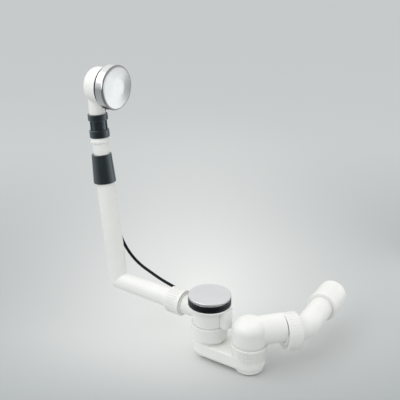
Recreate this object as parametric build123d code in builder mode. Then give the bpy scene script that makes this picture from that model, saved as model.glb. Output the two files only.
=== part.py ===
"""Bath waste and overflow with a turning knob, a cable and a lifting plug.

The origin is the middle of the bath outlet on the drain axis, at the face the bath bears on.
+Z is up and +X runs from the overflow riser towards the trap.  Sizes are in millimetres.
"""

import math
import os

from build123d import *

os.makedirs("parts", exist_ok=True)

# Fits
running = 0.05
slip = 0.1
gap = 0.3

# Drain: gaskets, steel flange, plug
seat_top_r = 28.6
rim_w = 6.0
gasket_over = 1.0
gasket_round = 2.4
bath_gasket_h = 7.2
flange_gasket_h = 3.4
flange_gasket_lip = 0.9
flange_gasket_low = 0.5
sheet = 1.4
seat_low_r = 24.9
seat_low_z = 0.8
strainer_r = 23.0
strainer_z = -6.6
spoke_w = 3.2
lid_over = 0.8
lid_gap = 1.1
lid_edge = 3.6
lid_crown = 0.4
lid_ring_h = 5.3
lid_hub_h = 3.7
lid_seal_h = 4.5
spigot_ring_r = 21.5
stem_r = 4.0
stem_entry = 2.3
stem_nut_af = 12.0
stem_nut_h = 4.2
screw_r = 6.2
screw_head_r = 9.2
screw_head_h = 3.2

# Drain body
body_r = 28.0
body_wall = 2.8
body_flange_edge = 0.6
body_flange_h = 3.8
body_low_z = -62.0
spigot_r = 27.2
spigot_z = -42.0
hub_r = 10.5
hub_low_z = -24.0
spider_w = 4.0
block_x = 31.5
block_r = 11.0
block_inset = 2.2
block_clear = 1.0

# Overflow pipe and its union on the drain body
pipe_r = 16.0
pipe_wall = 2.0
pipe_fall = 1.33
inlet_neck_r = 16.4
inlet_clear = 0.6
thread_r = 18.6
pipe_entry = 12.4
union_r = 21.4
union_start = 51.0
union_gap = 1.5
union_len = 27.0
union_collar = 6.0
union_wall = 3.2
union_ribs = 28
rib_h = 0.9
cone_seal_h = 4.4

# Overflow riser
knee_x = -194.5
lower_lean = 6.95
upper_lean = 4.2
boot_knee_z = 178.0
boot_up = 33.0
boot_down = 17.2
boot_top_r = 16.9
boot_low_r = 19.4
tube_r = 13.5
tube_wall = 1.9
tube_ring_r = 16.5
tube_ring_h = 8.6
sleeve_r = 11.5
sleeve_depth = 17.0
coupling_top_z = 280.0
coupling_low_z = 240.4
coupling_flange_r = 16.8
coupling_waist_r = 13.75
coupling_top_h = 10.5
coupling_low_h = 12.6
coupling_ribs = 8

# Overflow head
knob_z = 328.8
knob_front_x = -177.9
knob_r = 36.8
knob_depth = 18.0
knob_wall = 2.6
knob_crown = 1.8
knob_round = 4.5
spindle_r = 5.0
plate_x = -194.5
plate_h = 3.0
plate_r = 31.5
plate_hub_r = 8.5
plate_hub_back = 17.5
plate_hub_front = 4.5
plate_inlet = 9.0
plate_bar = 1.8
head_gasket_h = 4.0
head_gasket_r = 33.5
head_flange_r = 32.5
head_flange_h = 3.0
drum_r = 30.0
drum_wall = 3.0
drum_back_x = -233.0
drum_round = 12.0
neck_drop = 17.0
fix_radius = 22.0
fix_screw_r = 2.0
fix_screw_l = 16.0
fix_head_h = 2.4
fix_boss_wall = 2.4
fix_boss_l = 12.0
fix_hole_l = 10.0

# Lifting gear
turn = 90.0
crank = 6.25
crank_pin_r = 2.5
crank_disc_r = 9.5
carriage_h = 11.0
rail_y = 13.0
rail_w = 5.0
rail_h = 2.7
rail_len = 26.0
cable_top_x = -225.5
cable_top_y = 20.3
cable_top_z = 302.0
cable_boss_l = 13.5
cable_bends = [45.0, 60.0, 95.0, 150.0, 90.0]
cable_low_y = 30.5
cable_low_z = -22.6
lug_x = -46.0
lug_len = 10.0
lug_h = 6.0
sheath_r = 2.7
sheath_bore = 1.3
sheath_entry = 4.0
wire_r = 0.8
wire_tail = 7.0
stop_r = 3.6
stop_wall = 2.4
stop_len = 8.5
stop_lip = 1.6
stop_lip_h = 2.5
lever_x = -17.0
lever_swing = 20.7
wire_arm = 12.5
barrel_r = 2.0
shaft_r = 4.0
shaft_boss = 2.3
shaft_back_y = -3.5
fork_h = 5.0
lever_hub_r = 5.5
arm_w = 7.0
tip_r = 2.5

# Trap
socket_r = 30.7
socket_top_z = -42.0
socket_low_z = -67.0
trap_wall = 2.6
boat_step = 2.0
boat_top_z = -73.0
boat_low_z = -99.0
boat_round = 9.0
floor_z = -104.8
riser_x = 77.5
riser_spigot_r = 25.3
riser_spigot_z = -72.0
riser_step = 2.9
riser_round = 17.0
riser_top_z = -12.5
collar_wall = 4.0
collar_z = -55.6
cup_wall = 2.9
cup_taper = 5.0
cup_ribs = 5
cup_rib_pitch = 3.9
cup_rib_h = 0.9
ring_groove = 1.5
baffle_low_z = -88.0

# Outlet
outlet_z = -45.0
arm_angle = 50.4
arm_rise = 9.0
arm_r = 24.0
arm_len = 57.0
arm_bore_r = 19.2
arm_bore_rise = 1.0
outlet_thread_r = 23.9
outlet_thread_len = 17.0
outlet_nut_r = 30.6
outlet_nut_gap = 1.5
outlet_nut_wall = 3.6
outlet_ribs = 36
outlet_rib_h = 0.4
outlet_seal_h = 3.4
bend_r = 20.0
bend_wall = 1.9
bend_angle = 45.0
bend_radius = 45.0
bend_entry = 10.0
bend_lead = 22.2
adapter_r = 25.0
adapter_start = 78.4
adapter_len = 58.4
adapter_wall = 2.2
adapter_socket = 22.0
adapter_lip = 0.9
adapter_lip_h = 6.0
adapter_groove = 2.0

# Derived radii, heights and axes
rim_r = seat_top_r + rim_w
gasket_r = rim_r + gasket_over
lid_r = rim_r + lid_over
body_flange_r = gasket_r + body_flange_edge
riser_r = riser_spigot_r + riser_step
collar_r = riser_spigot_r + collar_wall
cup_top_r = riser_spigot_r + cup_wall
boat_r = cup_top_r - boat_step
cup_low_r = cup_top_r - cup_taper
rim_top_z = flange_gasket_h + sheet
lid_under_z = rim_top_z + lid_gap
lid_top_z = lid_under_z + lid_edge
plate_low_z = strainer_z - sheet
body_top_z = -bath_gasket_h
block_low_z = spigot_z + block_clear
pipe_z = spigot_z + inlet_neck_r + inlet_clear
throat_r = body_r - body_wall
seat_dr = 0.43 * sheet
lift = 2.0 * abs(lever_x) * math.sin(math.radians(lever_swing))
lever_z = cable_low_z - wire_arm * (1.0 + math.cos(math.radians(lever_swing))) / 2.0
rest_swing = math.radians(lever_swing)
stem_low_z = lever_z - abs(lever_x) * math.sin(rest_swing) + tip_r + gap
pipe_dir = Vector(-math.cos(math.radians(pipe_fall)), 0, math.sin(math.radians(pipe_fall)))
pipe_side = Vector(math.sin(math.radians(pipe_fall)), 0, math.cos(math.radians(pipe_fall)))
pipe_origin = Vector(0, 0, pipe_z)
knee = pipe_origin + pipe_dir * (-knee_x / math.cos(math.radians(pipe_fall)))
low_dir = Vector(-math.sin(math.radians(lower_lean)), 0, math.cos(math.radians(lower_lean)))
low_side = Vector(math.cos(math.radians(lower_lean)), 0, math.sin(math.radians(lower_lean)))
up_dir = Vector(-math.sin(math.radians(upper_lean)), 0, math.cos(math.radians(upper_lean)))
up_side = Vector(math.cos(math.radians(upper_lean)), 0, math.sin(math.radians(upper_lean)))
boot_lean = math.radians((lower_lean + upper_lean) / 2.0)
boot_dir = Vector(-math.sin(boot_lean), 0, math.cos(boot_lean))
boot_side = Vector(math.cos(boot_lean), 0, math.sin(boot_lean))
boot_knee = knee + low_dir * ((boot_knee_z - knee.Z) / low_dir.Z)
arm_dir = Vector(math.cos(math.radians(arm_angle)), math.sin(math.radians(arm_angle)), 0)
end_angle = math.radians(arm_angle + bend_angle)
end_dir = Vector(math.cos(end_angle), math.sin(end_angle), 0)
up = Vector(0, 0, 1)
arm_origin = Vector(riser_x, 0, outlet_z + arm_rise)
outlet_origin = Vector(riser_x, 0, outlet_z)
corner = outlet_origin + arm_dir * (arm_len + outlet_thread_len + bend_lead)
knob_axis = Axis((0, 0, knob_z), (1, 0, 0))
inlet_neck_end = union_start - union_gap
union_end = union_start + union_len
seal_end = union_end - union_wall
thread_end = seal_end - cone_seal_h
pipe_stop = thread_end - pipe_entry
outlet_nut_start = arm_len + outlet_nut_gap
outlet_thread_end = arm_len + outlet_thread_len
outlet_seal_end = outlet_thread_end + outlet_seal_h
outlet_nut_end = outlet_seal_end + outlet_nut_wall
bend_stop = outlet_thread_end - bend_entry


def outline(corners):
    """Closed outline through (x, y) or (x, y, radius) corners, each corner rounded by its radius."""
    count = len(corners)
    ends = []
    for i in range(count):
        here = Vector(corners[i][0], corners[i][1])
        radius = corners[i][2] if len(corners[i]) > 2 else 0.0
        before = Vector(corners[i - 1][0], corners[i - 1][1])
        after = Vector(corners[(i + 1) % count][0], corners[(i + 1) % count][1])
        back = (before - here).normalized()
        ahead = (after - here).normalized()
        if radius <= 0.0:
            ends.append((here, here, here))
            continue
        half = math.acos(max(-1.0, min(1.0, back.dot(ahead)))) / 2.0
        reach = radius / math.tan(half)
        bisector = (back + ahead).normalized()
        middle = here + bisector * (radius / math.sin(half) - radius)
        ends.append((here + back * reach, middle, here + ahead * reach))
    for i in range(count):
        first, middle, last = ends[i]
        following = ends[(i + 1) % count][0]
        if (last - first).length > 1e-6:
            ThreePointArc((first.X, first.Y), (middle.X, middle.Y), (last.X, last.Y))
        if (following - last).length > 1e-6:
            Line((last.X, last.Y), (following.X, following.Y))


def turn_plane(origin, along, side):
    """Sketch plane with x out from the turning axis and y along it."""
    return Plane(origin=origin, x_dir=side, z_dir=side.cross(along))


def turned(corners, plane=Plane.XZ, axis=Axis.Z, mode=Mode.ADD):
    """Turn a closed outline of (radius, height) corners about an axis."""
    with BuildSketch(plane) as face:
        with BuildLine():
            outline(corners)
        make_face()
    revolve(face.sketch, axis=axis, mode=mode)


def rod(origin, along, radius, length, mode=Mode.ADD):
    """Round bar from a point along a direction."""
    with Locations(Plane(origin=origin, z_dir=along)):
        Cylinder(radius, length, align=(Align.CENTER, Align.CENTER, Align.MIN), mode=mode)


def block(low, high, mode=Mode.ADD):
    """Box between two opposite corners."""
    size = [high[i] - low[i] for i in range(3)]
    with Locations(tuple((high[i] + low[i]) / 2.0 for i in range(3))):
        Box(size[0], size[1], size[2], mode=mode)


def ribbed(plane, radius, height, ribs, rib, mode=Mode.ADD):
    """Round body with grip ribs along its length."""
    with BuildSketch(plane) as face:
        Circle(radius)
        with PolarLocations(radius, ribs):
            Rectangle(2.0 * rib, radius * math.pi / ribs)
    extrude(face.sketch, amount=height, mode=mode)


def rounded_path(points, radii):
    """Straight runs joined by tangent arcs."""
    start = points[0]
    for i in range(1, len(points) - 1):
        here = points[i]
        back = (points[i - 1] - here).normalized()
        ahead = (points[i + 1] - here).normalized()
        half = math.acos(max(-1.0, min(1.0, back.dot(ahead)))) / 2.0
        reach = radii[i - 1] / math.tan(half)
        middle = here + (back + ahead).normalized() * (radii[i - 1] / math.sin(half) - radii[i - 1])
        Line(start, here + back * reach)
        ThreePointArc(here + back * reach, middle, here + ahead * reach)
        start = here + ahead * reach
    Line(start, points[-1])


# Rubber ring between the bath and the drain body, with a rounded shoulder
with BuildPart() as bath_gasket:
    ring_in = seat_low_r + seat_dr + 1.1
    turned(
        [
            (ring_in, body_top_z),
            (gasket_r, body_top_z, 0.9),
            (gasket_r, 0, gasket_round),
            (ring_in, 0),
        ]
    )
bath_gasket.part.label = "bath_gasket"
export_step(bath_gasket.part, "parts/bath_gasket.step")

# Rubber ring between the bath and the steel flange, with a lip round its rim
with BuildPart() as flange_gasket:
    flat_in = seat_top_r + seat_dr + gap
    lip_in = rim_r + slip
    turned(
        [
            (flat_in, 0),
            (lip_in + flange_gasket_lip, 0, 0.4),
            (lip_in + flange_gasket_lip, rim_top_z - flange_gasket_low, 0.4),
            (lip_in, rim_top_z - flange_gasket_low),
            (lip_in, flange_gasket_h),
            (flat_in, flange_gasket_h),
        ]
    )
flange_gasket.part.label = "flange_gasket"
export_step(flange_gasket.part, "parts/flange_gasket.step")

# Pressed steel outlet flange with its conical seat and strainer
with BuildPart() as drain_flange:
    turned(
        [
            (screw_r + slip, plate_low_z),
            (strainer_r + sheet, plate_low_z, 1.2),
            (seat_low_r + 0.64 * sheet, seat_low_z - 0.79 * sheet),
            (seat_top_r + seat_dr, flange_gasket_h),
            (rim_r, flange_gasket_h),
            (rim_r, rim_top_z, 0.6),
            (seat_top_r, rim_top_z, 0.8),
            (seat_low_r, seat_low_z),
            (strainer_r, strainer_z),
            (screw_r + slip, strainer_z),
        ]
    )
    with BuildSketch(Plane.XY.offset(plate_low_z - 1.0)):
        Circle(strainer_r - 1.6)
        Circle(hub_r, mode=Mode.SUBTRACT)
        with PolarLocations(0, 3):
            Rectangle(4.0 * strainer_r, spoke_w, mode=Mode.SUBTRACT)
    extrude(amount=sheet + 2.0, mode=Mode.SUBTRACT)
drain_flange.part.label = "drain_flange"
export_step(drain_flange.part, "parts/drain_flange.step")

# Hollow screw that holds the flange down and guides the stem
with BuildPart() as flange_screw:
    turned(
        [
            (stem_r + running, hub_low_z),
            (screw_r, hub_low_z, 0.6),
            (screw_r, strainer_z),
            (screw_head_r, strainer_z),
            (screw_head_r, strainer_z + screw_head_h, 0.8),
            (stem_r + running, strainer_z + screw_head_h),
        ]
    )
flange_screw.part.label = "flange_screw"
export_step(flange_screw.part, "parts/flange_screw.step")

# Plug: chromed lid, its seal, stem and lock nut
with BuildPart() as plug_lid:
    turned(
        [
            (stem_r, lid_under_z - lid_hub_h),
            (2.0 * stem_r, lid_under_z - lid_hub_h, 0.5),
            (2.0 * stem_r, lid_under_z + 0.5),
            (spigot_ring_r - 3.0, lid_under_z + 0.5),
            (spigot_ring_r - 3.0, lid_under_z - lid_ring_h),
            (spigot_ring_r + 1.1, lid_under_z - lid_ring_h, 0.3),
            (spigot_ring_r + 1.1, lid_under_z - lid_seal_h),
            (spigot_ring_r, lid_under_z - lid_seal_h),
            (spigot_ring_r, lid_under_z),
            (lid_r - 0.4, lid_under_z, 0.3),
            (lid_r, lid_under_z + 0.8, 0.5),
            (lid_r, lid_top_z, 1.2),
            (0.45 * lid_r, lid_top_z + lid_crown, 12.0 * lid_r),
            (0, lid_top_z + lid_crown),
            (0, lid_under_z + stem_entry),
            (stem_r, lid_under_z + stem_entry),
        ]
    )
plug_lid.part.label = "plug_lid"
export_step(plug_lid.part, "parts/plug_lid.step")

seat_slope = (seat_top_r - seat_low_r) / (rim_top_z - seat_low_z)
seal_low_z = lid_under_z - lid_seal_h
seal_low_r = seat_low_r + (seal_low_z - seat_low_z) * seat_slope - 1.45 * gap
seal_high_r = seat_low_r + (rim_top_z - 0.2 - seat_low_z) * seat_slope - 1.45 * gap
with BuildPart() as lid_seal:
    turned(
        [
            (spigot_ring_r, seal_low_z),
            (seal_low_r, seal_low_z, 0.5),
            (seal_high_r, rim_top_z - 0.2),
            (seal_high_r, lid_under_z),
            (spigot_ring_r, lid_under_z),
        ]
    )
lid_seal.part.label = "lid_seal"
export_step(lid_seal.part, "parts/lid_seal.step")

with BuildPart() as plug_stem:
    turned(
        [
            (0, stem_low_z),
            (stem_r, stem_low_z, 0.8),
            (stem_r, lid_under_z + stem_entry),
            (0, lid_under_z + stem_entry),
        ]
    )
plug_stem.part.label = "plug_stem"
export_step(plug_stem.part, "parts/plug_stem.step")

with BuildPart() as stem_nut:
    with BuildSketch(Plane.XY.offset(lid_under_z - lid_hub_h - stem_nut_h)):
        RegularPolygon(stem_nut_af / 2.0, 6, major_radius=False)
        Circle(stem_r, mode=Mode.SUBTRACT)
    extrude(amount=stem_nut_h)
stem_nut.part.label = "stem_nut"
export_step(stem_nut.part, "parts/stem_nut.step")

# Drain body: flange, throat, spider, overflow inlet, shaft boss and cable lug
boss_in = 9.0
boss_out = cable_low_y - 2.9
with BuildPart() as drain_body:
    turned(
        [
            (0, body_low_z),
            (spigot_r, body_low_z, 1.2),
            (spigot_r, spigot_z + gap),
            (body_r, spigot_z + gap + 0.8),
            (body_r, body_top_z - body_flange_h - 2.2, 2.0),
            (body_flange_r - 1.2, body_top_z - body_flange_h, 0.8),
            (body_flange_r, body_top_z - body_flange_h + 1.0, 0.6),
            (body_flange_r, body_top_z, 0.6),
            (0, body_top_z),
        ]
    )
    turned(
        [
            (0, block_low_z),
            (block_r, block_low_z, 2.0),
            (block_r, body_top_z - body_flange_h + block_inset),
            (0, body_top_z - body_flange_h + block_inset),
        ],
        Plane((block_x, 0, 0), x_dir=(1, 0, 0), z_dir=(0, -1, 0)),
        Axis((block_x, 0, 0), (0, 0, 1)),
    )
    turned(
        [
            (0, throat_r - 5.0),
            (inlet_neck_r, throat_r - 5.0),
            (inlet_neck_r, inlet_neck_end),
            (thread_r, inlet_neck_end, 0.4),
            (thread_r, thread_end, 0.8),
            (0, thread_end),
        ],
        turn_plane(pipe_origin, pipe_dir, pipe_side),
        Axis(pipe_origin, pipe_dir),
    )
    rod((lever_x, boss_in, lever_z), (0, 1, 0), shaft_r + shaft_boss, boss_out - boss_in)
    block(
        (lug_x, inlet_neck_r - 2.0, cable_low_z - lug_h / 2.0),
        (lug_x + lug_len, cable_low_y, cable_low_z + lug_h / 2.0),
    )
    rod((lug_x, cable_low_y, cable_low_z), (1, 0, 0), stop_r + stop_wall, lug_len)
    rod((0, 0, body_low_z), up, throat_r, body_top_z - body_low_z, Mode.SUBTRACT)
    rod(pipe_origin + pipe_dir * 10.0, pipe_dir, pipe_r - pipe_wall, thread_end, Mode.SUBTRACT)
    rod(pipe_origin + pipe_dir * (pipe_stop - 0.5), pipe_dir, pipe_r + slip, union_len, Mode.SUBTRACT)
    rod((lug_x, cable_low_y, cable_low_z), (1, 0, 0), stop_r, lug_len, Mode.SUBTRACT)
    with BuildSketch(Plane.XY.offset(hub_low_z)):
        with PolarLocations(0, 2, start_angle=45.0):
            Rectangle(2.0 * throat_r + 1.0, spider_w)
    extrude(amount=8.0)
    rod((0, 0, hub_low_z), up, hub_r, plate_low_z - hub_low_z)
    rod((0, 0, hub_low_z), up, screw_r + running, plate_low_z - hub_low_z, Mode.SUBTRACT)
    with BuildSketch(Plane((lever_x, 0, lever_z), x_dir=(1, 0, 0), z_dir=(0, 1, 0)).offset(boss_in)):
        Circle(shaft_r + shaft_boss)
    extrude(amount=6.0)
    rod((lever_x, boss_in, lever_z), (0, 1, 0), shaft_r + running, boss_out - boss_in, Mode.SUBTRACT)
    rod((lever_x, boss_out - 2.6, lever_z), (0, 1, 0), shaft_r + 1.3, 2.6, Mode.SUBTRACT)
drain_body.part.label = "drain_body"
export_step(drain_body.part, "parts/drain_body.step")

# Lifting gear in the drain: shaft with outside fork, inside arm, screw and seal
lever_along = (math.cos(rest_swing), 0, -math.sin(rest_swing))
lever_frame = Plane((lever_x, 0, lever_z), x_dir=lever_along, z_dir=(0, -1, 0))
fork_y = cable_low_y - 2.5
fork_in = barrel_r + 1.5 * gap
with BuildPart() as lift_shaft:
    rod((lever_x, shaft_back_y, lever_z), (0, 1, 0), shaft_r, fork_y + 1.0 - shaft_back_y)
    with BuildSketch(lever_frame.offset(-fork_y)) as fork:
        Circle(shaft_r + 2.2)
        with Locations((0, wire_arm / 2.0 + 1.6)):
            Rectangle(2.0 * barrel_r + 5.6, wire_arm + 3.2)
        with Locations((0, wire_arm + 3.0)):
            Rectangle(2.0 * fork_in, 8.4, mode=Mode.SUBTRACT)
        with Locations((0, wire_arm - 1.2)):
            Circle(fork_in, mode=Mode.SUBTRACT)
    extrude(fork.sketch, amount=-fork_h)
    with BuildSketch(lever_frame.offset(-cable_low_y + 1.2)) as notch:
        with Locations((-4.0, wire_arm + 1.5)):
            Rectangle(8.0, 9.0)
    extrude(notch.sketch, amount=-2.4, mode=Mode.SUBTRACT)
    rod((lever_x, shaft_back_y, lever_z), (0, 1, 0), fix_screw_r, 9.0, Mode.SUBTRACT)
lift_shaft.part.label = "lift_shaft"
export_step(lift_shaft.part, "parts/lift_shaft.step")

with BuildPart() as lift_arm:
    rod((lever_x, shaft_back_y, lever_z), (0, 1, 0), lever_hub_r, boss_in - gap - shaft_back_y)
    with BuildSketch(lever_frame.offset(arm_w / 2.0)) as arm_side:
        with BuildLine():
            outline(
                [
                    (0, -4.2),
                    (abs(lever_x), -tip_r),
                    (abs(lever_x), 0.0),
                    (0.5 * abs(lever_x), 0.4),
                    (0, 4.2),
                ]
            )
        make_face()
        with Locations((abs(lever_x), 0)):
            Circle(tip_r)
    extrude(arm_side.sketch, amount=-arm_w)
    rod((lever_x, shaft_back_y - 0.5, lever_z), (0, 1, 0), shaft_r, cable_low_y, Mode.SUBTRACT)
lift_arm.part.label = "lift_arm"
export_step(lift_arm.part, "parts/lift_arm.step")

with BuildPart() as lift_screw:
    rod((lever_x, shaft_back_y - fix_head_h, lever_z), (0, 1, 0), lever_hub_r - 0.8, fix_head_h)
    rod((lever_x, shaft_back_y, lever_z), (0, 1, 0), fix_screw_r, 9.0)
    with BuildSketch(Plane((lever_x, shaft_back_y - fix_head_h, lever_z), x_dir=(1, 0, 0), z_dir=(0, 1, 0))):
        RegularPolygon(1.6, 6)
    extrude(amount=1.4, mode=Mode.SUBTRACT)
lift_screw.part.label = "lift_screw"
export_step(lift_screw.part, "parts/lift_screw.step")

with BuildPart() as shaft_seal:
    with BuildSketch(Plane((lever_x, boss_out - 2.5, lever_z), x_dir=(1, 0, 0), z_dir=(0, 1, 0))):
        Circle(shaft_r + 1.3)
        Circle(shaft_r + running, mode=Mode.SUBTRACT)
    extrude(amount=2.2)
shaft_seal.part.label = "shaft_seal"
export_step(shaft_seal.part, "parts/shaft_seal.step")

# Cable end at the drain: stop in its lug, inner wire with its cross barrel
barrel_x = lever_x + wire_arm * math.sin(rest_swing)
low_lip = (lug_x - stop_lip_h, cable_low_y, cable_low_z)
with BuildPart() as cable_stop_low:
    rod(low_lip, (1, 0, 0), stop_r + stop_lip, stop_lip_h)
    rod((lug_x, cable_low_y, cable_low_z), (1, 0, 0), stop_r, stop_len)
    rod(low_lip, (1, 0, 0), sheath_r, stop_lip_h + sheath_entry, Mode.SUBTRACT)
    rod((lug_x, cable_low_y, cable_low_z), (1, 0, 0), wire_r + gap, lug_len, Mode.SUBTRACT)
cable_stop_low.part.label = "cable_stop_low"
export_step(cable_stop_low.part, "parts/cable_stop_low.step")

with BuildPart() as wire_low:
    rod((lug_x - wire_tail, cable_low_y, cable_low_z), (1, 0, 0), wire_r, barrel_x - lug_x + wire_tail)
    rod((barrel_x, cable_low_y - 2.4, cable_low_z), (0, 1, 0), barrel_r, 4.8)
wire_low.part.label = "wire_low"
export_step(wire_low.part, "parts/wire_low.step")

# Black cable sheath: behind the riser, round to the drain
cable_route = [
    Vector(cable_top_x, cable_top_y, cable_top_z + sheath_entry),
    Vector(cable_top_x, cable_top_y, cable_top_z - 10.0),
    Vector(cable_top_x - 8.6, cable_top_y - 0.1, cable_top_z - 40.0),
    Vector(-206.0, 23.0, 22.0),
    Vector(-121.6, 29.6, -13.2),
    Vector(-80.0, cable_low_y, cable_low_z),
    Vector(lug_x + sheath_entry, cable_low_y, cable_low_z),
]
with BuildPart() as cable_sheath:
    with BuildLine() as route:
        rounded_path(cable_route, cable_bends)
    with BuildSketch(Plane(origin=cable_route[0], z_dir=(0, 0, -1))):
        Circle(sheath_r)
        Circle(sheath_bore, mode=Mode.SUBTRACT)
    sweep(path=route.line)
cable_sheath.part.label = "cable_sheath"
export_step(cable_sheath.part, "parts/cable_sheath.step")

# Overflow pipe with its knee, union nut and cone seal
pipe_end = pipe_origin + pipe_dir * pipe_stop
pipe_top = boot_knee - low_dir * 1.0
with BuildPart() as overflow_pipe:
    rod(knee, low_dir, pipe_r, (pipe_top - knee).length)
    rod(knee, pipe_dir * -1.0, pipe_r, (pipe_end - knee).length)
    with Locations(knee):
        Sphere(pipe_r)
    rod(knee, low_dir, pipe_r - pipe_wall, (pipe_top - knee).length, Mode.SUBTRACT)
    rod(knee, pipe_dir * -1.0, pipe_r - pipe_wall, (pipe_end - knee).length, Mode.SUBTRACT)
    with Locations(knee):
        Sphere(pipe_r - pipe_wall, mode=Mode.SUBTRACT)
overflow_pipe.part.label = "overflow_pipe"
export_step(overflow_pipe.part, "parts/overflow_pipe.step")

with BuildPart() as overflow_seal:
    turned(
        [
            (pipe_r, thread_end),
            (thread_r - 0.4, thread_end),
            (thread_r - 1.6, seal_end),
            (pipe_r, seal_end),
        ],
        turn_plane(pipe_origin, pipe_dir, pipe_side),
        Axis(pipe_origin, pipe_dir),
    )
overflow_seal.part.label = "overflow_seal"
export_step(overflow_seal.part, "parts/overflow_seal.step")

with BuildPart() as overflow_nut:
    union_plane = Plane(origin=pipe_origin + pipe_dir * union_start, z_dir=pipe_dir)
    rod(union_plane.origin, pipe_dir, union_r + rib_h, union_collar)
    ribbed(union_plane.offset(union_collar - 1.0), union_r, union_len - union_collar + 1.0, union_ribs, rib_h)
    rod(union_plane.origin, pipe_dir, thread_r + slip, seal_end - union_start, Mode.SUBTRACT)
    rod(union_plane.origin, pipe_dir, pipe_r + gap, 2.0 * union_len, Mode.SUBTRACT)
overflow_nut.part.label = "overflow_nut"
export_step(overflow_nut.part, "parts/overflow_nut.step")

# Rubber boot between the pipe and the sliding tube
with BuildPart() as lower_boot:
    turned(
        [
            (0, -boot_down),
            (boot_low_r, -boot_down, 1.4),
            (boot_low_r - 0.5, -boot_down + 8.0, 8.0),
            (boot_top_r, boot_up, 1.2),
            (0, boot_up),
        ],
        turn_plane(boot_knee, boot_dir, boot_side),
        Axis(boot_knee, boot_dir),
    )
    rod(boot_knee - low_dir * 1.0, low_dir * -1.0, pipe_r, 40.0, Mode.SUBTRACT)
    rod(boot_knee + up_dir * 1.5, up_dir, tube_r, 60.0, Mode.SUBTRACT)
    rod(boot_knee - low_dir * 2.0, boot_dir, tube_r - tube_wall, 8.0, Mode.SUBTRACT)
lower_boot.part.label = "lower_boot"
export_step(lower_boot.part, "parts/lower_boot.step")

# Sliding tube with its ring, and the black coupling above it
up_origin = boot_knee
up_axis = Axis(up_origin, up_dir)
up_plane = turn_plane(up_origin, up_dir, up_side)
coupling_low = (coupling_low_z - boot_knee_z) / up_dir.Z
coupling_top = (coupling_top_z - boot_knee_z) / up_dir.Z
coupling_mid = (coupling_low + coupling_top) / 2.0
with BuildPart() as upper_tube:
    turned(
        [
            (sleeve_r - tube_wall, 1.5),
            (tube_r, 1.5, 0.5),
            (tube_r, coupling_low - tube_ring_h),
            (tube_ring_r, coupling_low - tube_ring_h, 0.7),
            (tube_ring_r, coupling_low - 0.5 * tube_ring_h, 3.0),
            (tube_r + 1.2, coupling_low),
            (sleeve_r, coupling_low),
            (sleeve_r, coupling_low + sleeve_depth, 0.5),
            (sleeve_r - tube_wall, coupling_low + sleeve_depth),
        ],
        up_plane,
        up_axis,
    )
upper_tube.part.label = "upper_tube"
export_step(upper_tube.part, "parts/upper_tube.step")

with BuildPart() as upper_coupling:
    turned(
        [
            (sleeve_r, coupling_low),
            (coupling_flange_r, coupling_low, 1.0),
            (coupling_flange_r, coupling_low + coupling_low_h, 1.0),
            (coupling_waist_r, coupling_low + coupling_low_h + 0.6),
            (coupling_waist_r, coupling_top - coupling_top_h - 0.6),
            (coupling_flange_r, coupling_top - coupling_top_h, 1.0),
            (coupling_flange_r, coupling_top, 1.0),
            (sleeve_r, coupling_top),
        ],
        up_plane,
        up_axis,
    )
    waist_low = coupling_low + coupling_low_h - 1.0
    with BuildSketch(Plane(origin=up_origin + up_dir * waist_low, z_dir=up_dir)) as waist:
        with PolarLocations(coupling_waist_r, coupling_ribs, start_angle=22.5):
            Rectangle(2.4, 2.2)
    extrude(waist.sketch, amount=coupling_top - coupling_top_h + 1.0 - waist_low)
    turned(
        [
            (sleeve_r - tube_wall, coupling_mid - 1.2),
            (sleeve_r + 0.2, coupling_mid - 1.2),
            (sleeve_r + 0.2, coupling_mid + 1.2),
            (sleeve_r - tube_wall, coupling_mid + 1.2),
        ],
        up_plane,
        up_axis,
    )
upper_coupling.part.label = "upper_coupling"
export_step(upper_coupling.part, "parts/upper_coupling.step")

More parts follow.
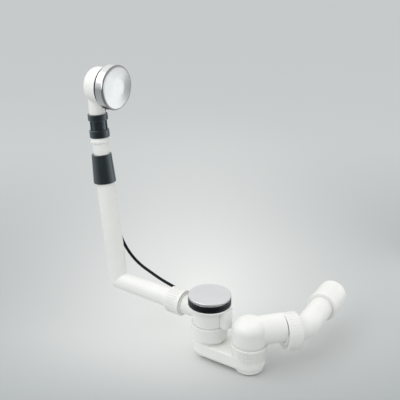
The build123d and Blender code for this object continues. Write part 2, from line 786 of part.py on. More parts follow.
# Overflow head: housing with neck, cable boss and guide rail
head_front_x = plate_x - plate_h - head_gasket_h
neck_top = up_origin + up_dir * ((knob_z - neck_drop - boot_knee_z) / up_dir.Z)
neck_bore = sleeve_r - tube_wall
cavity_r = drum_r - drum_wall
back_in_x = drum_back_x + drum_wall - 0.2
carriage_back_x = back_in_x + rail_h
with BuildPart() as overflow_body:
    turned(
        [
            (0, drum_back_x),
            (drum_r, drum_back_x, drum_round),
            (drum_r, head_front_x - head_flange_h, 0.8),
            (head_flange_r, head_front_x - head_flange_h, 0.6),
            (head_flange_r, head_front_x),
            (0, head_front_x),
        ],
        turn_plane(Vector(0, 0, knob_z), Vector(1, 0, 0), up),
        knob_axis,
    )
    rod(up_origin + up_dir * coupling_top, up_dir, tube_r, (neck_top - up_origin).length - coupling_top)
    with Locations(neck_top):
        Sphere(tube_r)
    rod(up_origin + up_dir * (coupling_top - sleeve_depth), up_dir, sleeve_r, sleeve_depth + 1.0)
    rod((cable_top_x, cable_top_y, cable_top_z), up, stop_r + stop_wall, cable_boss_l)
    turned(
        [
            (0, back_in_x),
            (cavity_r, back_in_x, drum_round - drum_wall),
            (cavity_r, head_front_x),
            (0, head_front_x),
        ],
        turn_plane(Vector(0, 0, knob_z), Vector(1, 0, 0), up),
        knob_axis,
        Mode.SUBTRACT,
    )
    rod(up_origin + up_dir * (coupling_top - sleeve_depth), up_dir, neck_bore, 60.0, Mode.SUBTRACT)
    with Locations(neck_top):
        Sphere(neck_bore, mode=Mode.SUBTRACT)
    rod((cable_top_x, cable_top_y, cable_top_z), up, stop_r, stop_len + 0.5, Mode.SUBTRACT)
    rod((cable_top_x, cable_top_y, cable_top_z), up, wire_r + 1.2, 2.0 * cable_boss_l, Mode.SUBTRACT)
    block(
        (back_in_x - 0.5, rail_y - rail_w / 2.0, knob_z - rail_len / 2.0),
        (carriage_back_x + 2.0, rail_y + rail_w / 2.0, knob_z + rail_len / 2.0),
    )
    boss_x = head_front_x - fix_boss_l
    web = (cavity_r - fix_radius) / 2.0 + 0.7
    for side in (-1, 1):
        screw_y = side * fix_radius
        web_y = side * (fix_radius + web - 0.6)
        rod((boss_x, screw_y, knob_z), (1, 0, 0), fix_screw_r + fix_boss_wall, fix_boss_l)
        block((boss_x, web_y - web, knob_z - 3.0), (head_front_x, web_y + web, knob_z + 3.0))
        rod((head_front_x, screw_y, knob_z), (-1, 0, 0), fix_screw_r, fix_hole_l, Mode.SUBTRACT)
overflow_body.part.label = "overflow_body"
export_step(overflow_body.part, "parts/overflow_body.step")

with BuildPart() as head_gasket:
    turned(
        [
            (cavity_r, head_front_x),
            (head_gasket_r, head_front_x, 0.6),
            (head_gasket_r, head_front_x + head_gasket_h, 0.6),
            (cavity_r, head_front_x + head_gasket_h),
        ],
        turn_plane(Vector(0, 0, knob_z), Vector(1, 0, 0), up),
        knob_axis,
    )
head_gasket.part.label = "head_gasket"
export_step(head_gasket.part, "parts/head_gasket.step")

# Front plate behind the knob: bearing, water inlets and two screws
hub_back_x = plate_x - plate_hub_back
hub_front_x = plate_x + plate_hub_front
with BuildPart() as overflow_plate:
    turned(
        [
            (spindle_r + running, hub_back_x),
            (plate_hub_r, hub_back_x, 0.8),
            (plate_hub_r, plate_x - plate_h, 0.0),
            (plate_r, plate_x - plate_h),
            (plate_r, plate_x, 0.8),
            (plate_hub_r, plate_x),
            (plate_hub_r, hub_front_x, 0.8),
            (spindle_r + running, hub_front_x),
        ],
        turn_plane(Vector(0, 0, knob_z), Vector(1, 0, 0), up),
        knob_axis,
    )
    with BuildSketch(Plane((plate_x + 1.0, 0, knob_z), x_dir=(0, 1, 0), z_dir=(-1, 0, 0))) as inlets:
        Circle(plate_hub_r + plate_inlet)
        Circle(plate_hub_r + plate_bar, mode=Mode.SUBTRACT)
        with PolarLocations(0, 3, start_angle=30.0):
            Rectangle(2.0 * plate_r, spider_w, mode=Mode.SUBTRACT)
    extrude(inlets.sketch, amount=plate_h + 2.0, mode=Mode.SUBTRACT)
    for side in (-1, 1):
        screw_y = side * fix_radius
        rod((head_front_x, screw_y, knob_z), (1, 0, 0), fix_screw_r + slip, fix_hole_l, Mode.SUBTRACT)
overflow_plate.part.label = "overflow_plate"
export_step(overflow_plate.part, "parts/overflow_plate.step")

with BuildPart() as plate_screws:
    for side in (-1, 1):
        screw_y = side * fix_radius
        rod((plate_x + fix_head_h, screw_y, knob_z), (-1, 0, 0), fix_screw_r, fix_screw_l)
        rod((plate_x, screw_y, knob_z), (1, 0, 0), fix_screw_r + 1.9, fix_head_h)
        block(
            (plate_x + fix_head_h / 2.0, screw_y - 0.5, knob_z - 3.0),
            (plate_x + 2.0 * fix_head_h, screw_y + 0.5, knob_z + 3.0),
            Mode.SUBTRACT,
        )
plate_screws.part.label = "plate_screws"
export_step(plate_screws.part, "parts/plate_screws.step")

# Turning knob, its spindle with crank, clip and set screw
knob_back_x = knob_front_x - knob_depth
knob_hub_x = hub_front_x + 1.8
knob_in_x = knob_front_x - knob_crown - knob_wall
spindle_end_x = knob_front_x - knob_wall - 2.0
with BuildPart() as overflow_knob:
    turned(
        [
            (0, knob_front_x),
            (0.35 * knob_r, knob_front_x, 2.5 * knob_r),
            (knob_r, knob_front_x - knob_crown, knob_round),
            (knob_r, knob_back_x, 0.7),
            (knob_r - knob_wall, knob_back_x, 0.4),
            (knob_r - knob_wall, knob_in_x, 2.4),
            (spindle_r + 4.5, knob_in_x),
            (spindle_r + 4.5, knob_hub_x, 0.5),
            (spindle_r, knob_hub_x),
            (spindle_r, spindle_end_x),
            (0, spindle_end_x),
        ],
        turn_plane(Vector(0, 0, knob_z), Vector(1, 0, 0), up),
        knob_axis,
    )
    rod((knob_hub_x + 2.6, 0, knob_z - spindle_r), (0, 0, -1), fix_screw_r, 10.0, Mode.SUBTRACT)
overflow_knob.part.label = "overflow_knob"
export_step(overflow_knob.part, "parts/overflow_knob.step")

crank_x = hub_back_x - 1.0
pin_back_x = carriage_back_x + 2.8
rest_crank = math.radians(turn / 2.0)
with BuildPart() as knob_spindle:
    turned(
        [
            (0, crank_x - 4.0),
            (crank_disc_r, crank_x - 4.0, 0.6),
            (crank_disc_r, crank_x, 0.6),
            (spindle_r, crank_x),
            (spindle_r, hub_front_x + 0.4),
            (spindle_r - 0.9, hub_front_x + 0.4),
            (spindle_r - 0.9, hub_front_x + 1.4),
            (spindle_r, hub_front_x + 1.4),
            (spindle_r, spindle_end_x),
            (0, spindle_end_x),
        ],
        turn_plane(Vector(0, 0, knob_z), Vector(1, 0, 0), up),
        knob_axis,
    )
    pin_spot = (pin_back_x, crank * math.cos(rest_crank), knob_z - crank * math.sin(rest_crank))
    rod(pin_spot, (1, 0, 0), crank_pin_r, crank_x - 3.0 - pin_back_x)
knob_spindle.part.label = "knob_spindle"
export_step(knob_spindle.part, "parts/knob_spindle.step")

with BuildPart() as spindle_clip:
    with BuildSketch(Plane((hub_front_x + 0.4, 0, knob_z), x_dir=(0, 1, 0), z_dir=(1, 0, 0))):
        Circle(spindle_r + 2.4)
        Circle(spindle_r - 0.9, mode=Mode.SUBTRACT)
        with Locations((0, spindle_r)):
            Rectangle(2.0 * (spindle_r - 1.6), 2.0 * spindle_r, mode=Mode.SUBTRACT)
    extrude(amount=1.0)
spindle_clip.part.label = "spindle_clip"
export_step(spindle_clip.part, "parts/spindle_clip.step")

with BuildPart() as knob_screw:
    rod((knob_hub_x + 2.6, 0, knob_z - spindle_r), (0, 0, -1), fix_screw_r, 6.0)
    with BuildSketch(Plane.XY.offset(knob_z - spindle_r - 6.0)):
        with Locations((knob_hub_x + 2.6, 0)):
            RegularPolygon(1.1, 6)
    extrude(amount=2.5, mode=Mode.SUBTRACT)
knob_screw.part.label = "knob_screw"
export_step(knob_screw.part, "parts/knob_screw.step")

# Slider moved by the crank, with the upper end of the wire
rest_z = knob_z - crank * math.sin(rest_crank)
slot_r = crank_pin_r + gap
nose_h = 7.0
with BuildPart() as wire_slider:
    block(
        (carriage_back_x, 0.0, rest_z - carriage_h / 2.0),
        (crank_x - 6.0, rail_y + rail_w - 0.4, rest_z + carriage_h / 2.0),
    )
    block(
        (carriage_back_x, rail_y + rail_w - 1.0, rest_z - nose_h / 2.0),
        (cable_top_x + 3.0, cable_top_y + 2.4, rest_z + nose_h / 2.0),
    )
    fillet(wire_slider.edges().filter_by(Axis.Z).group_by(Axis.Y)[-1], 1.0)
    block(
        (carriage_back_x - 1.0, rail_y - rail_w / 2.0 - gap, rest_z - carriage_h),
        (carriage_back_x + 2.0 + gap, rail_y + rail_w / 2.0 + gap, rest_z + carriage_h),
        Mode.SUBTRACT,
    )
    with BuildSketch(Plane((carriage_back_x - 1.0, 0, rest_z), x_dir=(0, 1, 0), z_dir=(1, 0, 0))) as slot:
        with Locations((crank * 0.86, 0)):
            SlotOverall(2.0 * slot_r + crank * 0.42, 2.0 * slot_r)
    extrude(slot.sketch, amount=14.0, mode=Mode.SUBTRACT)
    rod((cable_top_x, cable_top_y, rest_z - carriage_h), up, wire_r, 2.0 * carriage_h, Mode.SUBTRACT)
wire_slider.part.label = "wire_slider"
export_step(wire_slider.part, "parts/wire_slider.step")

wire_top_z = rest_z + nose_h / 2.0
with BuildPart() as wire_top:
    rod((cable_top_x, cable_top_y, cable_top_z - wire_tail), up, wire_r, wire_top_z - cable_top_z + wire_tail)
    rod((cable_top_x, cable_top_y, wire_top_z), up, barrel_r, 2.0)
wire_top.part.label = "wire_top"
export_step(wire_top.part, "parts/wire_top.step")

top_lip = (cable_top_x, cable_top_y, cable_top_z - stop_lip_h)
with BuildPart() as cable_stop_top:
    rod(top_lip, up, stop_r + stop_lip, stop_lip_h)
    rod((cable_top_x, cable_top_y, cable_top_z), up, stop_r, stop_len)
    rod(top_lip, up, sheath_r, stop_lip_h + sheath_entry, Mode.SUBTRACT)
    rod((cable_top_x, cable_top_y, cable_top_z), up, wire_r + gap, cable_boss_l, Mode.SUBTRACT)
cable_stop_top.part.label = "cable_stop_top"
export_step(cable_stop_top.part, "parts/cable_stop_top.step")

# Trap: inlet socket, flat channel and cup in one moulding
socket_in = spigot_r + slip
channel_in = boat_r - trap_wall
seal_z = socket_top_z - 9.0
riser_axis = Axis((riser_x, 0, 0), (0, 0, 1))
riser_plane = Plane((riser_x, 0, 0), x_dir=(1, 0, 0), z_dir=(0, -1, 0))
with BuildPart() as trap_body:
    with BuildSketch(Plane.XY.offset(boat_low_z)):
        with Locations((riser_x / 2.0, 0)):
            SlotCenterToCenter(riser_x, 2.0 * boat_r)
    extrude(amount=boat_top_z - boat_low_z)
    fillet(trap_body.edges().group_by(Axis.Z)[0], boat_round)
    fillet(trap_body.edges().group_by(Axis.Z)[-1], 2.0)
    turned(
        [
            (0, boat_top_z - 4.0),
            (boat_r - 0.4, boat_top_z - 4.0),
            (boat_r - 0.4, socket_low_z - 0.8),
            (socket_r - 1.2, socket_low_z, 0.4),
            (socket_r, socket_low_z + 1.2, 0.6),
            (socket_r, socket_top_z, 0.5),
            (0, socket_top_z),
        ]
    )
    turned(
        [
            (0, floor_z),
            (cup_low_r, floor_z, 7.5),
            (cup_top_r, collar_z - 5.0),
            (collar_r, collar_z - 4.4, 0.4),
            (collar_r, collar_z, 0.8),
            (0, collar_z),
        ],
        riser_plane,
        riser_axis,
    )
    for i in range(cup_ribs):
        rib_z = collar_z - 8.0 - cup_rib_pitch * i
        rib_in = cup_top_r - cup_taper * (collar_z - 5.0 - rib_z) / (collar_z - 5.0 - floor_z)
        turned(
            [
                (rib_in - trap_wall / 2.0, rib_z - 1.0),
                (rib_in + cup_rib_h, rib_z - 0.8, 0.3),
                (rib_in + cup_rib_h, rib_z + 0.8, 0.3),
                (rib_in - trap_wall / 2.0, rib_z + 1.0),
            ],
            riser_plane,
            riser_axis,
        )
    turned(
        [
            (0, socket_low_z + 4.0),
            (socket_in, socket_low_z + 4.0),
            (socket_in, seal_z - 6.0),
            (socket_in + ring_groove, seal_z - 6.0),
            (socket_in + ring_groove, seal_z),
            (socket_in, seal_z),
            (socket_in, socket_top_z - 0.6),
            (socket_in + 0.6, socket_top_z),
            (0, socket_top_z),
        ],
        mode=Mode.SUBTRACT,
    )
    rod((0, 0, boat_top_z - 8.0), up, channel_in - 0.5, socket_low_z - boat_top_z + 13.0, Mode.SUBTRACT)
    with BuildSketch(Plane.XY.offset(boat_low_z + trap_wall)) as channel:
        with Locations((riser_x / 2.0, 0)):
            SlotCenterToCenter(riser_x, 2.0 * channel_in)
    extrude(channel.sketch, amount=boat_top_z - boat_low_z - 2.0 * trap_wall, mode=Mode.SUBTRACT)
    turned(
        [
            (0, floor_z + trap_wall),
            (cup_low_r - trap_wall, floor_z + trap_wall, 5.0),
            (riser_spigot_r - 2.0, riser_spigot_z - 0.6),
            (riser_spigot_r + slip, riser_spigot_z - 0.6),
            (riser_spigot_r + slip, collar_z - 9.2),
            (riser_spigot_r + ring_groove, collar_z - 9.2),
            (riser_spigot_r + ring_groove, collar_z - 6.0),
            (riser_spigot_r + slip, collar_z - 6.0),
            (riser_spigot_r + slip, collar_z),
            (0, collar_z),
        ],
        riser_plane,
        riser_axis,
        Mode.SUBTRACT,
    )
    block(
        (riser_x / 2.0 - trap_wall, -channel_in - gap, baffle_low_z),
        (riser_x / 2.0, channel_in + gap, boat_top_z - 1.0),
    )
trap_body.part.label = "trap_body"
export_step(trap_body.part, "parts/trap_body.step")

with BuildPart() as socket_seal:
    turned(
        [
            (spigot_r, seal_z - 5.9),
            (socket_in + ring_groove, seal_z - 5.9, 0.4),
            (socket_in + ring_groove, seal_z - 0.1, 0.4),
            (spigot_r, seal_z - 0.1),
        ]
    )
socket_seal.part.label = "socket_seal"
export_step(socket_seal.part, "parts/socket_seal.step")

with BuildPart() as riser_seal:
    turned(
        [
            (riser_spigot_r, collar_z - 9.1),
            (riser_spigot_r + ring_groove, collar_z - 9.1, 0.4),
            (riser_spigot_r + ring_groove, collar_z - 6.1, 0.4),
            (riser_spigot_r, collar_z - 6.1),
        ],
        riser_plane,
        riser_axis,
    )
riser_seal.part.label = "riser_seal"
export_step(riser_seal.part, "parts/riser_seal.step")

# Riser with its raised outlet arm and threaded end
with BuildPart() as trap_riser:
    turned(
        [
            (0, riser_spigot_z),
            (riser_spigot_r, riser_spigot_z, 0.8),
            (riser_spigot_r, collar_z),
            (riser_r - 1.6, collar_z),
            (riser_r, collar_z + 4.6, 4.0),
            (riser_r, riser_top_z, riser_round),
            (0, riser_top_z),
        ],
        riser_plane,
        riser_axis,
    )
    rod(arm_origin, arm_dir, arm_r, arm_len)
    rod(outlet_origin + arm_dir * (arm_len - 2.0), arm_dir, outlet_thread_r, outlet_thread_len + 2.0)
    turned(
        [
            (0, riser_spigot_z),
            (riser_spigot_r - trap_wall, riser_spigot_z),
            (riser_spigot_r - trap_wall, collar_z + 1.0),
            (riser_r - trap_wall, collar_z + 4.6, 3.0),
            (riser_r - trap_wall, riser_top_z - trap_wall, riser_round - trap_wall),
            (0, riser_top_z - trap_wall),
        ],
        riser_plane,
        riser_axis,
        Mode.SUBTRACT,
    )
    turned(
        [
            (riser_spigot_r, riser_spigot_z - 2.0),
            (collar_r + gap, riser_spigot_z - 2.0),
            (collar_r + gap, collar_z),
            (riser_spigot_r, collar_z),
        ],
        riser_plane,
        riser_axis,
        Mode.SUBTRACT,
    )
    rod(arm_origin + up * arm_bore_rise, arm_dir, arm_bore_r, arm_len - trap_wall, Mode.SUBTRACT)
    way_start = outlet_origin + arm_dir * (arm_len - 1.4)
    rod(way_start, arm_dir, bend_r - bend_wall, 2.0 * outlet_thread_len, Mode.SUBTRACT)
    rod(outlet_origin + up * 4.0 + arm_dir * (arm_len - 4.6), arm_dir, bend_r - 5.0, 6.0, Mode.SUBTRACT)
    rod(outlet_origin + arm_dir * bend_stop, arm_dir, bend_r + slip, outlet_thread_len, Mode.SUBTRACT)
trap_riser.part.label = "trap_riser"
export_step(trap_riser.part, "parts/trap_riser.step")

# Outlet: union nut, seal, 45 degree bend, adapter sleeve and its seal
outlet_side = Vector(-arm_dir.Y, arm_dir.X, 0)
with BuildPart() as outlet_nut:
    nut_plane = Plane(origin=outlet_origin + arm_dir * outlet_nut_start, z_dir=arm_dir)
    nut_len = outlet_nut_end - outlet_nut_start
    rod(nut_plane.origin, arm_dir, outlet_nut_r + outlet_rib_h, 3.0)
    ribbed(nut_plane.offset(2.5), outlet_nut_r, nut_len - 2.5, outlet_ribs, outlet_rib_h)
    rod(nut_plane.origin, arm_dir, outlet_thread_r + slip, nut_len - outlet_nut_wall, Mode.SUBTRACT)
    rod(nut_plane.origin, arm_dir, bend_r + gap, 2.0 * nut_len, Mode.SUBTRACT)
outlet_nut.part.label = "outlet_nut"
export_step(outlet_nut.part, "parts/outlet_nut.step")

with BuildPart() as outlet_seal:
    turned(
        [
            (bend_r, outlet_thread_end),
            (outlet_thread_r - 0.4, outlet_thread_end),
            (outlet_thread_r - 1.4, outlet_seal_end),
            (bend_r, outlet_seal_end),
        ],
        turn_plane(outlet_origin, arm_dir, outlet_side),
        Axis(outlet_origin, arm_dir),
    )
outlet_seal.part.label = "outlet_seal"
export_step(outlet_seal.part, "parts/outlet_seal.step")

with BuildPart() as outlet_bend:
    with BuildLine() as bend_path:
        bend_end = corner + end_dir * (adapter_start + adapter_socket)
        rounded_path([outlet_origin + arm_dir * bend_stop, corner, bend_end], [bend_radius])
    with BuildSketch(Plane(origin=outlet_origin + arm_dir * bend_stop, z_dir=arm_dir)):
        Circle(bend_r)
        Circle(bend_r - bend_wall, mode=Mode.SUBTRACT)
    sweep(path=bend_path.line)
outlet_bend.part.label = "outlet_bend"
export_step(outlet_bend.part, "parts/outlet_bend.step")

end_side = Vector(-end_dir.Y, end_dir.X, 0)
adapter_plane = turn_plane(corner, end_dir, end_side)
adapter_axis = Axis(corner, end_dir)
adapter_end = adapter_start + adapter_len
with BuildPart() as outlet_adapter:
    turned(
        [
            (bend_r + slip, adapter_start),
            (adapter_r + adapter_lip, adapter_start, 0.8),
            (adapter_r + adapter_lip, adapter_start + adapter_lip_h, 0.6),
            (adapter_r, adapter_start + adapter_lip_h + 1.2),
            (adapter_r, adapter_end, 1.0),
            (adapter_r - adapter_wall, adapter_end),
            (adapter_r - adapter_wall, adapter_start + adapter_socket + 5.0),
            (bend_r - bend_wall, adapter_start + adapter_socket + 2.4),
            (bend_r - bend_wall, adapter_start + adapter_socket),
            (bend_r + slip, adapter_start + adapter_socket),
            (bend_r + slip, adapter_start + 9.0),
            (bend_r + adapter_groove, adapter_start + 9.0),
            (bend_r + adapter_groove, adapter_start + 5.0),
            (bend_r + slip, adapter_start + 5.0),
        ],
        adapter_plane,
        adapter_axis,
    )
outlet_adapter.part.label = "outlet_adapter"
export_step(outlet_adapter.part, "parts/outlet_adapter.step")

with BuildPart() as adapter_seal:
    turned(
        [
            (bend_r, adapter_start + 5.1),
            (bend_r + adapter_groove, adapter_start + 5.1, 0.4),
            (bend_r + adapter_groove, adapter_start + 8.9, 0.4),
            (bend_r, adapter_start + 8.9),
        ],
        adapter_plane,
        adapter_axis,
    )
adapter_seal.part.label = "adapter_seal"
export_step(adapter_seal.part, "parts/adapter_seal.step")
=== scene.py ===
import math
from typing import NamedTuple

import bmesh
import bpy
from mathutils import Matrix, Vector


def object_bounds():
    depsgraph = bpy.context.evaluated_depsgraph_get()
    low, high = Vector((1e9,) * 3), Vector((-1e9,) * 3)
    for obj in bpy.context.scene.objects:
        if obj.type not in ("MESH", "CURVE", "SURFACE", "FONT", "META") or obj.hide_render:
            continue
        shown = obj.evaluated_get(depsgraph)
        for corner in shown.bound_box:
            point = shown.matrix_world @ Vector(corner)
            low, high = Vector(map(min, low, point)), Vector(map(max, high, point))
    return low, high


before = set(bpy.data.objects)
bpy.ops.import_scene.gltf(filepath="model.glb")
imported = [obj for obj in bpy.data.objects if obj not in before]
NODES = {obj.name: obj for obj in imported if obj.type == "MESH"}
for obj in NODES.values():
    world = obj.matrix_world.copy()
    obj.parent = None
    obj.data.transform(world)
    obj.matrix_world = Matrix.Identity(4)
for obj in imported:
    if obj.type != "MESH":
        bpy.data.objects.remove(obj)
CAD_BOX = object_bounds()

bl_info = {
    "name": "Bath waste and overflow",
    "version": (1, 0, 0),
    "blender": (4, 5, 0),
    "location": "3D View > Sidebar > Bath waste",
    "description": "Dresses the solids of a bath waste and overflow and sets its studio",
    "category": "Object",
}

WHITE_MOULDINGS = (
    "overflow_body",
    "overflow_plate",
    "wire_slider",
    "upper_tube",
    "overflow_pipe",
    "overflow_nut",
    "drain_body",
    "trap_body",
    "trap_riser",
    "outlet_nut",
    "outlet_bend",
    "outlet_adapter",
)
RUBBER_RINGS = (
    "head_gasket",
    "flange_gasket",
    "bath_gasket",
    "lid_seal",
    "shaft_seal",
    "overflow_seal",
    "socket_seal",
    "riser_seal",
    "outlet_seal",
    "adapter_seal",
)
BOOTS = ("lower_boot",)
COUPLINGS = ("upper_coupling",)
CABLES = ("cable_sheath",)
KNOBS = ("overflow_knob",)
LIDS = ("plug_lid",)
STEEL_PIECES = (
    "drain_flange",
    "plate_screws",
    "spindle_clip",
    "knob_screw",
    "lift_screw",
    "wire_top",
    "wire_low",
)
BRASS_PIECES = (
    "knob_spindle",
    "flange_screw",
    "plug_stem",
    "stem_nut",
    "lift_shaft",
    "lift_arm",
    "cable_stop_top",
    "cable_stop_low",
)

# Lengths in metres and angles in radians, apart from the sensor
MM = 0.001
# Reach of the painted shade in the white plastic's grooves and corners
PAINTED_SHADE_REACH = 3.0 * MM
FLOOR_GAP = 0.2 * MM
FLOOR_SIDE = 24.0
# Centre and reach of the pool of light painted on the floor
PAINTED_LIGHT_CENTRE = (-0.084, 0.088)
PAINTED_LIGHT_REACH = (0.65, 1.8)
FLAG_SIZE = (0.3, 0.4)
FLAG_PLACE = (0.159, 0.834)
FLAG_TURN = math.radians(158.0)
UPRIGHT = math.radians(90.0)
SENSOR_WIDTH_MM = 36.0

# Looks that are the same all over a surface
FLAG_GREY = (0.12, 0.12, 0.12, 1.0)
MATT_ROUGHNESS = 0.9
FULL_METAL = 1.0
WHITE_IOR = 1.5
RING_IOR = 1.3
CABLE_IOR = 1.35
BOOT_IOR = 1.9
COUPLING_IOR = 1.9
BLACK_TINT = (0.78, 0.93, 1.0, 1.0)

# Ranges, shares and counts that the materials use
NOISE_MIDDLE = (0.3, 0.7)
GRAZING = (0.08, 0.4)
BLACK_SHINE = (0.23, 1.0)
CHROME_HAZE = 0.02
# Share of the chrome's colour kept in the knob's painted dark edge reflection
KNOB_REFLECTION_SHADE = 0.4
OPENNESS_SAMPLES = 16


class Lamp(NamedTuple):
    """Soft rectangular lamp: where it stands, what it faces, its two sides, and its power in watts."""

    name: str
    place: tuple
    aim: tuple
    sides: tuple
    power: float


LAMPS = (
    Lamp("top_softbox", place=(-0.1, 0.4, 1.9), aim=(-0.05, 0.05, 0.1), sides=(2.2, 2.2), power=0.5),
    Lamp("left_softbox", place=(-0.85, -0.58, 1.1), aim=(-0.15, 0.0, 0.2), sides=(0.8, 0.8), power=2.9),
    Lamp("knob_card", place=(0.32, 0.493, 0.1), aim=(-0.178, 0.0, 0.329), sides=(0.3, 0.4), power=0.33),
    Lamp("right_softbox", place=(1.1, 0.1, 0.4), aim=(-0.05, 0.0, 0.1), sides=(0.8, 0.9), power=1.7),
    Lamp("front_softbox", place=(-0.25, -1.45, 0.95), aim=(-0.2, 0.0, 0.3), sides=(1.0, 1.0), power=1.3),
    Lamp("head_softbox", place=(-0.12, -0.6, 0.5), aim=(-0.18, 0.0, 0.26), sides=(0.3, 0.3), power=0.9),
)


class FinishSettings(bpy.types.PropertyGroup):
    """Colours and gloss of the finishes."""

    white: bpy.props.FloatVectorProperty(
        name="White plastic",
        description="Colour of the moulded pipes and bodies",
        subtype="COLOR",
        default=(0.86, 0.862, 0.835),
        min=0.0,
        max=1.0,
    )
    white_roughness: bpy.props.FloatProperty(
        name="White roughness",
        description="Roughness of the moulded plastic",
        subtype="FACTOR",
        default=0.36,
        min=0.0,
        max=1.0,
    )
    rubber: bpy.props.FloatVectorProperty(
        name="Rubber",
        description="Colour of gaskets, seals and the boot",
        subtype="COLOR",
        default=(0.0028, 0.0035, 0.0043),
        min=0.0,
        max=1.0,
    )
    black: bpy.props.FloatVectorProperty(
        name="Black plastic",
        description="Colour of the coupling and the cable",
        subtype="COLOR",
        default=(0.0018, 0.0026, 0.0032),
        min=0.0,
        max=1.0,
    )
    chrome: bpy.props.FloatVectorProperty(
        name="Chrome",
        description="Colour of the knob and the plug lid",
        subtype="COLOR",
        default=(0.73, 0.735, 0.74),
        min=0.0,
        max=1.0,
    )
    knob_roughness: bpy.props.FloatProperty(
        name="Knob roughness",
        description="Roughness of the knob's chrome",
        subtype="FACTOR",
        default=0.225,
        min=0.0,
        max=1.0,
    )
    lid_roughness: bpy.props.FloatProperty(
        name="Lid roughness",
        description="Roughness of the plug lid's chrome",
        subtype="FACTOR",
        default=0.38,
        min=0.0,
        max=1.0,
    )
    steel: bpy.props.FloatVectorProperty(
        name="Steel",
        description="Colour of the outlet flange and the screws",
        subtype="COLOR",
        default=(0.62, 0.62, 0.61),
        min=0.0,
        max=1.0,
    )
    brass: bpy.props.FloatVectorProperty(
        name="Brass",
        description="Colour of the turned inner pieces",
        subtype="COLOR",
        default=(0.72, 0.56, 0.3),
        min=0.0,
        max=1.0,
    )


class StudioSettings(bpy.types.PropertyGroup):
    """Camera, floor and surroundings."""

    azimuth: bpy.props.FloatProperty(
        name="Azimuth",
        description="Camera's angle round the object",
        subtype="ANGLE",
        default=math.radians(34.338),
    )
    elevation: bpy.props.FloatProperty(
        name="Elevation",
        description="Camera's angle above the horizon",
        subtype="ANGLE",
        default=math.radians(21.391),
    )
    distance: bpy.props.FloatProperty(
        name="Distance",
        description="Camera's distance from its target",
        unit="LENGTH",
        default=1143.17 * MM,
    )
    target: bpy.props.FloatVectorProperty(
        name="Target",
        description="Point the camera looks at",
        subtype="TRANSLATION",
        unit="LENGTH",
        default=(-23.305 * MM, 6.005 * MM, 167.952 * MM),
    )
    lens: bpy.props.FloatProperty(
        name="Lens",
        description="Focal length on a 36 mm sensor",
        subtype="DISTANCE_CAMERA",
        default=65.01,
    )
    # The floor's colour round the object carries a painted pool of light.
    floor: bpy.props.FloatVectorProperty(
        name="Floor",
        description="Colour of the floor round the object",
        subtype="COLOR",
        default=(0.85, 0.86, 0.845),
        min=0.0,
        max=1.0,
    )
    floor_far: bpy.props.FloatVectorProperty(
        name="Far floor",
        description="Colour of the floor far behind the object and of the horizon",
        subtype="COLOR",
        default=(0.6, 0.63, 0.63),
        min=0.0,
        max=1.0,
    )
    # The near floor's colour is painted darker as shade.
    floor_near: bpy.props.FloatVectorProperty(
        name="Near floor",
        description="Colour of the floor in front of the object",
        subtype="COLOR",
        default=(0.355, 0.38, 0.385),
        min=0.0,
        max=1.0,
    )
    sky_back: bpy.props.FloatProperty(
        name="Light behind",
        description="Brightness of the surroundings above, behind and left of the object",
        subtype="FACTOR",
        default=1.11,
        min=0.0,
        max=2.0,
    )
    sky_front: bpy.props.FloatProperty(
        name="Light in front",
        description="Brightness of the surroundings in front and right of the object",
        subtype="FACTOR",
        default=0.5,
        min=0.0,
        max=2.0,
    )


def blank_material(name):
    """New node material with its tree, principled shader and object coordinates."""
    material = bpy.data.materials.new(name)
    material.use_nodes = True
    tree = material.node_tree
    shader = tree.nodes["Principled BSDF"]
    place = tree.nodes.new("ShaderNodeTexCoord")
    return material, tree, shader, place.outputs["Object"]


def noise(tree, place, scale, detail, roughness=0.5):
    """Noise texture on a coordinate; gives its value."""
    node = tree.nodes.new("ShaderNodeTexNoise")
    node.inputs["Scale"].default_value = scale
    node.inputs["Detail"].default_value = detail
    node.inputs["Roughness"].default_value = roughness
    tree.links.new(place, node.inputs["Vector"])
    return node.outputs["Fac"]


def remap(tree, value, source, target, interpolation="LINEAR"):
    """Value carried from a source range to a target range."""
    node = tree.nodes.new("ShaderNodeMapRange")
    node.interpolation_type = interpolation
    for limit, number in zip(("From Min", "From Max", "To Min", "To Max"), (*source, *target)):
        node.inputs[limit].default_value = number
    tree.links.new(value, node.inputs["Value"])
    return node.outputs["Result"]


def spread(tree, value, low=0.0, high=1.0):
    """Spreads the middle of a noise value over a range."""
    return remap(tree, value, NOISE_MIDDLE, (low, high))


def ramp(tree, value, start, end):
    """Smooth step from 0 at the start to 1 at the end."""
    return remap(tree, value, (start, end), (0.0, 1.0), "SMOOTHSTEP")


def two_tone(tree, value, first, second):
    """Colour between two tones by a value."""
    node = tree.nodes.new("ShaderNodeMix")
    node.data_type = "RGBA"
    node.inputs["A"].default_value = (*first, 1.0)
    node.inputs["B"].default_value = (*second, 1.0)
    tree.links.new(value, node.inputs["Factor"])
    return node.outputs["Result"]


def blend(tree, value, first, second):
    """Linked colour turned into a plain tone by a value."""
    node = tree.nodes.new("ShaderNodeMix")
    node.data_type = "RGBA"
    node.inputs["B"].default_value = (*second, 1.0)
    tree.links.new(value, node.inputs["Factor"])
    tree.links.new(first, node.inputs["A"])
    return node.outputs["Result"]


def openness(tree, reach):
    """Share of open space round a point within a reach, low in grooves and corners; the white plastic's
    painted shade follows it.
    """
    node = tree.nodes.new("ShaderNodeAmbientOcclusion")
    node.samples = OPENNESS_SAMPLES
    node.inputs["Distance"].default_value = reach
    return node.outputs["AO"]


def relief(tree, shader, height, depth, strength):
    """Bump of a given depth on the shader."""
    node = tree.nodes.new("ShaderNodeBump")
    node.inputs["Distance"].default_value = depth
    node.inputs["Strength"].default_value = strength
    tree.links.new(height, node.inputs["Height"])
    tree.links.new(node.outputs["Normal"], shader.inputs["Normal"])


